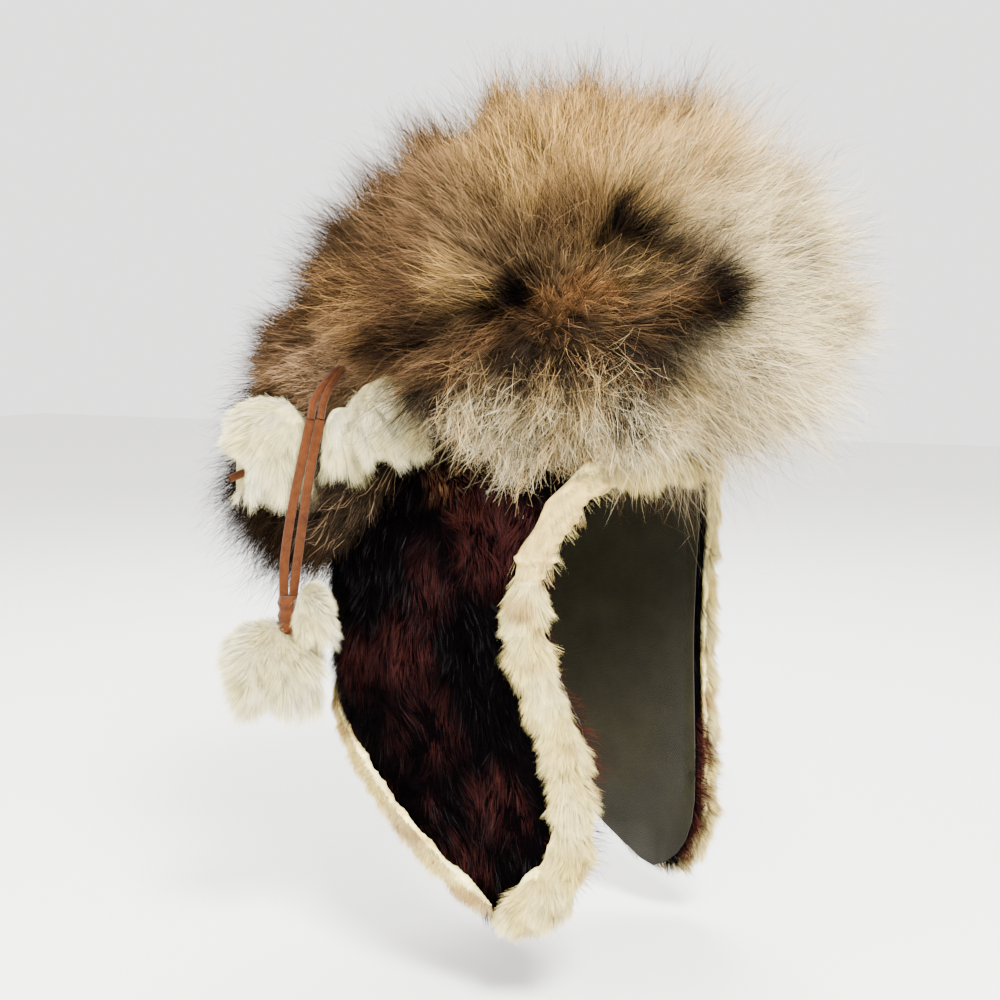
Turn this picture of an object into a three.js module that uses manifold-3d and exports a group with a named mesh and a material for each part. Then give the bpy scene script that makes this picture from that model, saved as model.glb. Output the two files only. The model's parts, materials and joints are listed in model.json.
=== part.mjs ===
import * as THREE from 'three';
import { mergeVertices } from 'three/addons/utils/BufferGeometryUtils.js';
import Module from 'manifold-3d';

const wasm = await Module();
wasm.setup();

// Driving sizes, in millimetres
// The origin is the inside top of the crown. The face opening looks toward -Y and the wearer's
// right side, which carries the tassels, is -X.
const GAP = 0.3;
const LINING_THICKNESS = 1.5;
const CAP_WALL = 7;
const CAP_INNER = LINING_THICKNESS + GAP;
const CAP_OUTER = CAP_INNER + CAP_WALL;
const SEAT = CAP_OUTER + GAP;
const HOOD_SIDES = 28;
const HOOD_BOTTOM = -290;
const CUT_BOTTOM = HOOD_BOTTOM - 10;
const DOME_DEPTH = 75;
const DOME_RINGS = 5;
const EDGE_POINTS = 31;
const REACH = 400;
// 2 would make each section of the hollow an ellipse, and more squares it off, as a forehead is
const SQUARENESS = 2.35;

// Sections of the head hollow: half width, and reach to the front and to the back
const SECTIONS = [
  { z: -75, half: 80, front: 106, back: 98 },
  { z: -110, half: 81, front: 106, back: 99 },
  { z: -150, half: 82, front: 105, back: 97 },
  { z: -190, half: 83, front: 104, back: 88 },
  { z: -230, half: 85, front: 103, back: 80 },
  { z: -290, half: 87, front: 101, back: 72 },
];

// Edge of the cap: degrees round from the front on the right and on the left side, the right side's
// height, and how much lower the left side hangs. The soft cap sits a little turned, so its left flap
// lies further forward and lower.
const FACE_EDGE = [
  { right: 0, left: 0, z: -37, drop: 0 },
  { right: 25, left: 22, z: -38.5, drop: 0 },
  { right: 40, left: 33, z: -41, drop: 1 },
  { right: 51, left: 40, z: -49, drop: 3 },
  { right: 58.5, left: 44, z: -64, drop: 5 },
  { right: 64.5, left: 46.5, z: -85, drop: 6 },
  { right: 66, left: 47.5, z: -107, drop: 7 },
  { right: 64, left: 48, z: -128, drop: 8 },
  { right: 60, left: 47.5, z: -149, drop: 8 },
  { right: 54, left: 46.5, z: -170, drop: 9 },
  { right: 52, left: 45.5, z: -192, drop: 10 },
  { right: 51, left: 45, z: -213, drop: 11 },
  { right: 52, left: 46, z: -234, drop: 12 },
  { right: 57, left: 52, z: -252, drop: 13 },
  { right: 64.5, left: 60, z: -265, drop: 13 },
  { right: 72, left: 68.5, z: -272, drop: 13 },
];
const NAPE_EDGE = [
  { right: 79, left: 77, z: -265, drop: 13 },
  { right: 87, left: 86, z: -252, drop: 12 },
  { right: 103, left: 103, z: -226, drop: 8 },
  { right: 125, left: 125, z: -197, drop: 4 },
  { right: 156, left: 156, z: -172, drop: 1 },
  { right: 180, left: 180, z: -165, drop: 0 },
];

// Seam between crown and side panels, seen from the side
const SEAM = [
  { y: -140, z: -168 },
  { y: -28, z: -78 },
  { y: 7, z: -52 },
  { y: 140, z: -46 },
];

const FACE_TRIM = { halfWidth: 9.5, height: 8, inset: 8.5, endWidth: 1.45, tuft: 26, ripple: 0.14 };
const NAPE_TRIM = { halfWidth: 5, height: 5.5, inset: 4, endWidth: 1, tuft: 22, ripple: 0.12 };
// A fur band is rounded over its last stretch, full up to one distance and slim from another
const BAND_END = { rounding: 12, tipWidth: 0.45, full: 20, slim: 70 };
const CURVE_SAMPLES = 90;
const TRIM_SIDES = 7;
const STATIONS_PER_TUFT = 2;

// Masses of the fox pelt: the bush on the crown, its slope to the back, the rear drape, the tail
// end of the drape, and its two lappets beside the nape. Each carries locks of its own.
const PELT_MASSES = [
  {
    centre: [0, -30, 50], half: 109, front: 128, back: 100, up: 99, down: 84,
    locks: 43, length: 23, radius: 22, comb: [0, -0.1, 0.15],
  },
  {
    centre: [0, 40, 38], half: 92, front: 60, back: 74, up: 78, down: 60,
    locks: 30, length: 17, radius: 19, comb: [0, 0.3, 0.1],
  },
  {
    centre: [0, 75, -8], half: 86, front: 70, back: 80, up: 72, down: 66,
    locks: 30, length: 20, radius: 18, comb: [0, 0.35, -0.75],
  },
  {
    centre: [0, 118, -48], half: 66, front: 40, back: 46, up: 54, down: 42,
    locks: 20, length: 18, radius: 16, comb: [0, 0.4, -1],
  },
  {
    centre: [-64, 62, -38], half: 27, front: 36, back: 42, up: 50, down: 46,
    locks: 10, length: 20, radius: 12, comb: [0, 0.3, -1.6],
  },
  {
    centre: [64, 62, -38], half: 27, front: 36, back: 42, up: 50, down: 46,
    locks: 10, length: 20, radius: 12, comb: [0, 0.3, -1.6],
  },
];
const PELT_SIDES = 16;
const LOCK_SIDES = 4;
const LOCK_ROOT = 6;
const LOCK_BELLY = 0.7;
const LOCK_COMB = 0.8;
const LOCK_BEND = 0.5;
const LOCK_LENGTH = { least: 0.8, more: 0.5 };
const LOCK_RADIUS = { least: 0.8, more: 0.4 };
const LOCK_CLEARANCE = 9;
const LOCK_REST = 2;
const FACE_CLEAR = { y: -70, z: -22 };

// White tufts: centre, width along the cap, depth away from it, height
const TUFTS = [
  { name: 'tuft_upper_front_small', centre: [-93, 61, -22], wide: 20, deep: 17, tall: 39 },
  { name: 'tuft_upper_front_large', centre: [-91, 37, -11], wide: 36, deep: 26, tall: 45 },
  { name: 'tuft_upper_back', centre: [-95, 106, -31], wide: 49, deep: 33, tall: 65 },
  { name: 'tuft_lower_small', centre: [-95, 80, -118], wide: 18, deep: 16, tall: 40 },
  { name: 'tuft_lower_large', centre: [-95, 107, -151], wide: 54, deep: 38, tall: 60 },
];
const TUFT_LOCKS = 6;
const TUFT_LOCK_RADIUS = 0.24;
const TUFT_LOCK_SPREAD = [0.2, 0.3];
const TUFT_LOCK_LENGTH = { least: 0.82, more: 0.17 };
const TUFT_LOCK_BEND = 0.15;
const TUFT_HEAD = 0.62;
const TUFT_SIDES = 8;
const TUFT_RINGS = 5;

// Suede thongs
const THONG_RADIUS = 2.2;
const THONG_CLEARANCE = 0.4;
const THONG_SIDES = 8;
const STRAND_STEP = 10;
const THONG_PITCH = 5.2;
const THONG_SPREAD = [0.47, -0.88, 0];
const END_GAP = 0.6;
const LEG = 12;
const THONG_APEX = [-86, 65, 17];
const APEX_SPREAD = 0.3;
const THONG_ROUTE = [
  [-101, 72, -10],
  [-105, 76, -36],
  [-104, 82, -60],
  [-99, 90, -86],
  [-96, 94, -106],
];
const KNOT = { centre: [-95, 95, -117.5], radius: 6, waist: 0.8, height: 22, wraps: 3, sides: 10 };
const THONG_TIP = { centre: [-101, 119, -40], length: 16, direction: [-0.45, 0.8, -0.4] };

const COLOURS = {
  cap: 0x2a1412, lining: 0x3b3722, cream: 0xe9dcc0, fox: 0xb98d56, white: 0xf1ebdf, suede: 0xb8612f,
};

function point([x, y, z]) {
  return new THREE.Vector3(x, y, z);
}

// Steady value from 0 to 1 for each whole number, so that no two locks are alike
function vary(index, salt) {
  const value = Math.sin(index * 12.9898 + salt * 78.233) * 43758.5453;
  return value - Math.floor(value);
}

// Closed geometry to a solid, with its faces turned outward
function solidFrom(geometry) {
  geometry.deleteAttribute('normal');
  geometry.deleteAttribute('uv');
  const merged = mergeVertices(geometry, 1e-3);
  const corners = merged.index.array;
  const position = merged.attributes.position;
  const [a, b, c] = [new THREE.Vector3(), new THREE.Vector3(), new THREE.Vector3()];
  const kept = [];
  let volume = 0;
  for (let i = 0; i < corners.length; i += 3) {
    const [p, q, r] = [corners[i], corners[i + 1], corners[i + 2]];
    if (p === q || q === r || r === p) {
      continue;
    }
    a.fromBufferAttribute(position, p);
    b.fromBufferAttribute(position, q);
    c.fromBufferAttribute(position, r);
    volume += a.dot(b.cross(c));
    kept.push(p, q, r);
  }
  if (volume < 0) {
    kept.reverse();
  }
  return new wasm.Manifold(new wasm.Mesh({
    numProp: 3,
    vertProperties: new Float32Array(position.array),
    triVerts: new Uint32Array(kept),
  }));
}

function meshFrom(name, solid, colour, roughness) {
  const { vertProperties, triVerts } = solid.getMesh();
  const geometry = new THREE.BufferGeometry();
  geometry.setAttribute('position', new THREE.BufferAttribute(vertProperties, 3));
  geometry.setIndex(new THREE.BufferAttribute(triVerts, 1));
  const material = new THREE.MeshStandardMaterial({ color: colour, roughness, metalness: 0 });
  const mesh = new THREE.Mesh(geometry, material);
  mesh.name = name;
  return mesh;
}

// A cut can leave a loose lock tip behind, so only the largest body is kept
function largest(solid) {
  return solid.decompose().reduce((best, body) => (body.volume() > best.volume() ? body : best));
}

function cutAll(solid, cutters) {
  return cutters.reduce((left, cutter) => left.subtract(cutter), solid);
}

// Radii of the head hollow at a height, grown outward by an offset
function radiiAt(z, offset) {
  const top = SECTIONS[0];
  if (z > top.z) {
    const rise = Math.min(1, (z - top.z) / (DOME_DEPTH + offset));
    const k = Math.sqrt(1 - rise * rise);
    const drawnIn = (key) => (top[key] + offset) * k;
    return { half: drawnIn('half'), front: drawnIn('front'), back: drawnIn('back') };
  }
  let row = SECTIONS.findIndex((section) => section.z <= z);
  row = Math.max(1, row < 0 ? SECTIONS.length - 1 : row);
  const [above, below] = [SECTIONS[row - 1], SECTIONS[row]];
  const t = (above.z - z) / (above.z - below.z);
  const blend = (key) => THREE.MathUtils.lerp(above[key], below[key], t) + offset;
  return { half: blend('half'), front: blend('front'), back: blend('back') };
}

function squared(value) {
  return Math.sign(value) * Math.abs(value) ** (2 / SQUARENESS);
}

function hoodPoint(degrees, z, offset) {
  const angle = THREE.MathUtils.degToRad(degrees);
  const { half, front, back } = radiiAt(z, offset);
  const [side, forward] = [squared(Math.sin(angle)), squared(Math.cos(angle))];
  return new THREE.Vector3(-half * side, -(forward > 0 ? front : back) * forward, z);
}

// Whole form of the head hollow grown by an offset, closed below
function hoodForm(offset, bottom) {
  const heights = [];
  for (let ring = 0; ring <= DOME_RINGS; ring += 1) {
    const latitude = (Math.PI / 2) * (1 - ring / DOME_RINGS);
    heights.push(SECTIONS[0].z + (DOME_DEPTH + offset) * Math.sin(latitude));
  }
  heights.push(...SECTIONS.slice(1).map((section) => section.z).filter((z) => z > bottom), bottom);
  const profile = heights.map((z, i) => new THREE.Vector2(i === 0 ? 0 : 1, z));
  profile.push(new THREE.Vector2(0, bottom));
  const geometry = new THREE.LatheGeometry(profile, HOOD_SIDES);
  const position = geometry.attributes.position;
  for (let i = 0; i < position.count; i += 1) {
    const [x, z, y] = [position.getX(i), position.getY(i), position.getZ(i)];
    const radii = radiiAt(z, offset);
    position.setXYZ(i, -radii.half * squared(x), -(y > 0 ? radii.front : radii.back) * squared(y), z);
  }
  return solidFrom(geometry);
}

// Prism through the whole width, from an outline given as y and z
function sidePrism(outline, from = -REACH, to = REACH) {
  const shape = new THREE.Shape(outline.map(({ y, z }) => new THREE.Vector2(y, z)));
  const geometry = new THREE.ExtrudeGeometry(shape, { depth: to - from, bevelEnabled: false });
  const [along, up, across] = [[0, 1, 0], [0, 0, 1], [1, 0, 0]].map(point);
  geometry.applyMatrix4(new THREE.Matrix4().makeBasis(along, up, across));
  geometry.translate(from, 0, 0);
  return solidFrom(geometry);
}

// One side's edge on the hood, grown outward by an offset
function edgeRow(row, side, offset) {
  const lower = side === 'left' ? row.drop : 0;
  const at = hoodPoint(row[side], row.z - lower, offset);
  return side === 'left' ? at.setX(-at.x) : at;
}

// Everything below the cap's edge on one side
function belowEdge(side) {
  const middle = (LINING_THICKNESS + CAP_OUTER) / 2;
  const rows = [...FACE_EDGE, ...NAPE_EDGE].map((row) => edgeRow(row, side, middle));
  const curve = new THREE.SplineCurve(rows.map(({ y, z }) => new THREE.Vector2(y, z)));
  const edge = curve.getPoints(EDGE_POINTS).map((at) => ({ y: at.x, z: at.y }));
  const [first, last] = [edge[0], edge[edge.length - 1]];
  const outline = [
    { y: -REACH, z: first.z }, ...edge, { y: REACH, z: last.z }, { y: REACH, z: -REACH },
    { y: -REACH, z: -REACH },
  ];
  return side === 'left' ? sidePrism(outline, 0, REACH) : sidePrism(outline, -REACH, 0);
}

function aboveSeam(shift) {
  const line = SEAM.map(({ y, z }) => ({ y, z: z + shift }));
  const [first, last] = [line[0], line[line.length - 1]];
  return sidePrism([
    ...line, { y: REACH, z: last.z }, { y: REACH, z: REACH }, { y: -REACH, z: REACH },
    { y: -REACH, z: first.z },
  ]);
}

function sideBlock(sign) {
  const block = new THREE.BoxGeometry(REACH, 2 * REACH, 2 * REACH);
  block.translate(sign * (REACH / 2 + GAP / 2), 0, 0);
  return solidFrom(block);
}

// Both sides of an edge as one curve on the outside of the cap, running from right to left
function edgeCurve(rows, startsAtMiddle, inset) {
  const inward = startsAtMiddle ? [...rows].reverse() : [...rows];
  const right = inward.map((row) => edgeRow(row, 'right', SEAT));
  const left = inward.slice(0, -1).reverse().map((row) => edgeRow(row, 'left', SEAT));
  const curve = new THREE.CatmullRomCurve3([...right, ...left]);
  const toward = startsAtMiddle ? 1 : -1;
  const moved = curve.getSpacedPoints(CURVE_SAMPLES).map((at, i) => {
    const along = curve.getTangentAt(i / CURVE_SAMPLES);
    const side = new THREE.Vector3().crossVectors(outward(at), along).multiplyScalar(toward);
    return at.clone().addScaledVector(side, inset);
  });
  return new THREE.CatmullRomCurve3(moved);
}

function outward(at) {
  const { half, front, back } = radiiAt(Math.min(at.z, SECTIONS[0].z), SEAT);
  const depth = at.y < 0 ? front : back;
  const rise = Math.max(0, at.z - SECTIONS[0].z) / (DOME_DEPTH + SEAT) ** 2;
  const steep = (value, radius) => (
    (Math.sign(value) * Math.abs(value / radius) ** (SQUARENESS - 1)) / radius
  );
  return new THREE.Vector3(steep(at.x, half), steep(at.y, depth), rise).normalize();
}

// Fur band along a curve, its width and height rippling from tuft to tuft
function furBand(curve, size, grow) {
  const length = curve.getLength();
  const tufts = Math.round(length / size.tuft);
  const stations = tufts * STATIONS_PER_TUFT;
  const geometry = new THREE.CylinderGeometry(1, 1, stations, TRIM_SIDES, stations);
  const position = geometry.attributes.position;
  for (let i = 0; i < position.count; i += 1) {
    const [a, b] = [position.getX(i), position.getZ(i)];
    const t = THREE.MathUtils.clamp(position.getY(i) / stations + 0.5, 0, 1);
    const nearEnd = Math.min(t, 1 - t) * length;
    const close = THREE.MathUtils.smoothstep(nearEnd, 0, BAND_END.rounding);
    const slim = THREE.MathUtils.smoothstep(nearEnd, BAND_END.full, BAND_END.slim);
    const swell = THREE.MathUtils.lerp(size.endWidth, 1, slim);
    const ripple = 1 + size.ripple * Math.cos(2 * Math.PI * t * tufts);
    const k = THREE.MathUtils.lerp(BAND_END.tipWidth, 1, close) * swell * ripple;
    const centre = curve.getPointAt(t);
    const up = outward(centre);
    const side = new THREE.Vector3().crossVectors(up, curve.getTangentAt(t)).normalize();
    centre.addScaledVector(side, a * (size.halfWidth * k + grow));
    centre.addScaledVector(up, b * (size.height * k + grow));
    position.setXYZ(i, centre.x, centre.y, centre.z);
  }
  return solidFrom(geometry);
}

// Tapered lock of fur, bent sideways toward its tip
function lock(base, direction, length, radius, bend, sides, grow) {
  const geometry = new THREE.ConeGeometry(1, 1, sides, 2);
  geometry.translate(0, 0.5, 0);
  const turn = new THREE.Quaternion().setFromUnitVectors(new THREE.Vector3(0, 1, 0), direction);
  const position = geometry.attributes.position;
  for (let i = 0; i < position.count; i += 1) {
    const t = position.getY(i);
    const fullness = (radius + grow) * (1 + LOCK_BELLY * t * (1 - t));
    const at = new THREE.Vector3(position.getX(i), 0, position.getZ(i)).multiplyScalar(fullness);
    at.setY(t * (length + grow)).applyQuaternion(turn).add(base).addScaledVector(bend, length * t * t);
    position.setXYZ(i, at.x, at.y, at.z);
  }
  return solidFrom(geometry);
}

function ellipsoid(centre, { half, front, back, up, down }, across, rings) {
  const geometry = new THREE.SphereGeometry(1, across, rings);
  geometry.rotateX(Math.PI / 2);
  const position = geometry.attributes.position;
  for (let i = 0; i < position.count; i += 1) {
    const [x, y, z] = [position.getX(i), position.getY(i), position.getZ(i)];
    position.setXYZ(i, x * half, y * (y < 0 ? front : back), z * (z > 0 ? up : down));
  }
  geometry.translate(...centre);
  return solidFrom(geometry);
}

function insideMass(at, mass, margin) {
  const [x, y, z] = at.clone().sub(point(mass.centre)).toArray();
  const deep = y < 0 ? mass.front : mass.back;
  const tall = z > 0 ? mass.up : mass.down;
  return Math.hypot(x / (mass.half + margin), y / (deep + margin), z / (tall + margin)) < 1;
}

function insideHood(at, offset) {
  if (at.z > offset) {
    return false;
  }
  const { half, front, back } = radiiAt(at.z, offset);
  const [side, along] = [at.x / half, at.y / (at.y < 0 ? front : back)];
  return Math.abs(side) ** SQUARENESS + Math.abs(along) ** SQUARENESS < 1;
}

// Fox pelt
function nearTassels(at, keepOff) {
  return keepOff.some(({ centre, reach }) => at.distanceTo(centre) < reach);
}

function peltLocks(mass, others, keepOff) {
  const golden = Math.PI * (3 - Math.sqrt(5));
  const locks = [];
  for (let i = 0; i < mass.locks; i += 1) {
    const z = 1 - (2 * (i + 0.5)) / mass.locks;
    const ring = Math.sqrt(1 - z * z);
    const [x, y] = [ring * Math.cos(golden * i), ring * Math.sin(golden * i)];
    const [deep, tall] = [y < 0 ? mass.front : mass.back, z > 0 ? mass.up : mass.down];
    const base = point(mass.centre).add(new THREE.Vector3(x * mass.half, y * deep, z * tall));
    const normal = new THREE.Vector3(x / mass.half, y / deep, z / tall).normalize();
    const direction = normal.clone().addScaledVector(point(mass.comb), LOCK_COMB).normalize();
    const length = mass.length * (LOCK_LENGTH.least + LOCK_LENGTH.more * vary(i, 1));
    const tip = base.clone().addScaledVector(direction, length);
    const overFace = base.y < FACE_CLEAR.y && tip.z < FACE_CLEAR.z;
    const hidden = others.some((other) => insideMass(base, other, 0)) || insideHood(base, SEAT);
    const nearOthers = [base, tip].some((end) => nearTassels(end, keepOff));
    const blocked = nearOthers || insideHood(tip, SEAT + LOCK_REST);
    if (hidden || blocked || overFace) {
      continue;
    }
    const bend = point([vary(i, 2) - 0.5, vary(i, 3) - 0.5, vary(i, 4) - 0.6]).multiplyScalar(LOCK_BEND);
    const root = base.clone().addScaledVector(normal, -LOCK_ROOT);
    const radius = mass.radius * (LOCK_RADIUS.least + LOCK_RADIUS.more * vary(i, 5));
    locks.push(lock(root, direction, length + LOCK_ROOT, radius, bend, LOCK_SIDES, 0));
  }
  return locks;
}

function foxPelt(cutters, keepOff) {
  const bodies = PELT_MASSES.map((mass) => ellipsoid(mass.centre, mass, PELT_SIDES, PELT_SIDES / 2));
  const locks = PELT_MASSES.flatMap((mass) => (
    peltLocks(mass, PELT_MASSES.filter((other) => other !== mass), keepOff)
  ));
  const whole = [...bodies, ...locks].reduce((sum, body) => sum.add(body));
  return largest(cutAll(whole, cutters));
}

// White tuft: a rounded head with locks hanging from it
function tuft({ centre, wide, deep, tall }, grow) {
  const headTall = tall * TUFT_HEAD;
  const head = {
    half: deep / 2 + grow, front: wide / 2 + grow, back: wide / 2 + grow, up: headTall / 2 + grow,
    down: headTall / 2 + grow,
  };
  const middle = point(centre).add(new THREE.Vector3(0, 0, (tall - headTall) / 2));
  let body = ellipsoid(middle.toArray(), head, TUFT_SIDES, TUFT_RINGS);
  for (let i = 0; i < TUFT_LOCKS; i += 1) {
    const angle = (2 * Math.PI * i) / TUFT_LOCKS;
    const spread = TUFT_LOCK_SPREAD[i % TUFT_LOCK_SPREAD.length];
    const across = new THREE.Vector3(Math.cos(angle) * deep * spread, Math.sin(angle) * wide * spread, 0);
    const base = middle.clone().add(across);
    const direction = new THREE.Vector3(across.x / deep, across.y / wide, -1).normalize();
    const share = TUFT_LOCK_LENGTH.least + TUFT_LOCK_LENGTH.more * vary(i, tall);
    const bend = new THREE.Vector3(0, (vary(i, wide) - 0.5) * TUFT_LOCK_BEND, 0);
    const length = (tall - headTall / 2) * share;
    body = body.add(lock(base, direction, length, wide * TUFT_LOCK_RADIUS, bend, LOCK_SIDES, grow));
  }
  return body;
}

// Suede thongs
function thong(points, grow) {
  const steps = Math.ceil(new THREE.CatmullRomCurve3(points).getLength() / STRAND_STEP);
  const [first, last] = [points[0].clone(), points[points.length - 1].clone()];
  first.add(first.clone().sub(points[1]).setLength(grow));
  last.add(last.clone().sub(points[points.length - 2]).setLength(grow));
  const curve = new THREE.CatmullRomCurve3([first, ...points.slice(1, -1), last]);
  const section = new THREE.Shape();
  section.absarc(0, 0, THONG_RADIUS + grow, 0, 2 * Math.PI);
  return solidFrom(new THREE.ExtrudeGeometry(section, {
    steps, curveSegments: THONG_SIDES / 2, extrudePath: curve,
  }));
}

function strandRoute(side) {
  const across = point(THONG_SPREAD).multiplyScalar((side * THONG_PITCH) / 2);
  return THONG_ROUTE.map((at) => point(at).add(across));
}

// One leg of the root, in line with its strand and bent in toward the apex
function rootLeg(side, grow) {
  const [top, next] = strandRoute(side);
  const rising = top.clone().sub(next).normalize();
  const leg = [END_GAP, END_GAP + LEG].map((reach) => top.clone().addScaledVector(rising, reach));
  const across = point(THONG_SPREAD).multiplyScalar((side * THONG_PITCH * APEX_SPREAD) / 2);
  return thong([...leg, point(THONG_APEX).add(across)], grow);
}

function knot(grow) {
  const profile = [new THREE.Vector2(0, -KNOT.height / 2 - grow)];
  const rings = KNOT.wraps * 2 + 1;
  for (let i = 0; i < rings; i += 1) {
    const radius = KNOT.radius * (i % 2 ? 1 : KNOT.waist) + grow;
    profile.push(new THREE.Vector2(radius, (KNOT.height + 2 * grow) * (i / (rings - 1) - 0.5)));
  }
  profile.push(new THREE.Vector2(0, KNOT.height / 2 + grow));
  const geometry = new THREE.LatheGeometry(profile, KNOT.sides);
  geometry.rotateX(Math.PI / 2);
  geometry.translate(...KNOT.centre);
  return solidFrom(geometry);
}

function thongTip(grow) {
  const [centre, along] = [point(THONG_TIP.centre), point(THONG_TIP.direction).normalize()];
  const ends = [-1, 1].map((sign) => centre.clone().addScaledVector(along, (sign * THONG_TIP.length) / 2));
  return thong(ends, grow);
}

// Assembly
const form = {
  lining: hoodForm(LINING_THICKNESS, HOOD_BOTTOM),
  head: hoodForm(0, CUT_BOTTOM),
  inner: hoodForm(CAP_INNER, CUT_BOTTOM),
  outer: hoodForm(CAP_OUTER, HOOD_BOTTOM),
  seat: hoodForm(SEAT, CUT_BOTTOM),
};
const opening = belowEdge('right').add(belowEdge('left'));
const lining = form.lining.subtract(form.head).subtract(opening);
const cap = form.outer.subtract(form.inner).subtract(opening);
const crown = cap.intersect(aboveSeam(GAP / 2));
const panels = cap.subtract(aboveSeam(-GAP / 2));

const faceCurve = edgeCurve(FACE_EDGE, true, FACE_TRIM.inset);
const napeCurve = edgeCurve(NAPE_EDGE, false, NAPE_TRIM.inset);
const faceTrim = furBand(faceCurve, FACE_TRIM, 0).subtract(form.seat);
const faceTrimGrown = furBand(faceCurve, FACE_TRIM, GAP);
const napeTrim = largest(cutAll(furBand(napeCurve, NAPE_TRIM, 0), [form.seat, faceTrimGrown]));

const thongSolids = {
  thong_root: (grow) => rootLeg(1, grow).add(rootLeg(-1, grow)),
  thong_strand_front: (grow) => thong(strandRoute(1), grow),
  thong_strand_back: (grow) => thong(strandRoute(-1), grow),
  thong_knot: knot,
  thong_tip: thongTip,
};
const thongsGrown = Object.values(thongSolids).map((make) => make(THONG_CLEARANCE));

// Each tuft is cut by the thongs and by the tufts before it
const tufts = TUFTS.map((spec, i) => {
  const before = TUFTS.slice(0, i).map((other) => tuft(other, GAP));
  return { name: spec.name, solid: largest(cutAll(tuft(spec, 0), [...thongsGrown, ...before])) };
});

const keepOff = [
  ...TUFTS.map(({ centre, wide, tall }) => ({
    centre: point(centre), reach: Math.max(wide, tall) / 2 + LOCK_CLEARANCE,
  })),
  ...THONG_ROUTE.map((at) => ({ centre: point(at), reach: 2 * LOCK_CLEARANCE })),
  { centre: point(THONG_APEX), reach: 2 * LOCK_CLEARANCE },
];
const peltCutters = [
  form.seat, faceTrimGrown, ...thongsGrown, ...TUFTS.map((spec) => tuft(spec, GAP)),
];

const headdress = new THREE.Group();
headdress.add(
  meshFrom('crown', crown, COLOURS.cap, 0.7),
  meshFrom('side_panel_right', panels.intersect(sideBlock(-1)), COLOURS.cap, 0.7),
  meshFrom('side_panel_left', panels.intersect(sideBlock(1)), COLOURS.cap, 0.7),
  meshFrom('lining', lining, COLOURS.lining, 0.85),
  meshFrom('face_trim', faceTrim, COLOURS.cream, 0.9),
  meshFrom('nape_trim', napeTrim, COLOURS.cream, 0.9),
  meshFrom('fox_pelt', foxPelt(peltCutters, keepOff), COLOURS.fox, 0.85),
  ...Object.entries(thongSolids).map(([name, make]) => meshFrom(name, make(0), COLOURS.suede, 0.9)),
  ...tufts.map(({ name, solid }) => meshFrom(name, solid, COLOURS.white, 0.9)),
);

export default headdress;
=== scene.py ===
import json
import math
from collections import namedtuple

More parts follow.
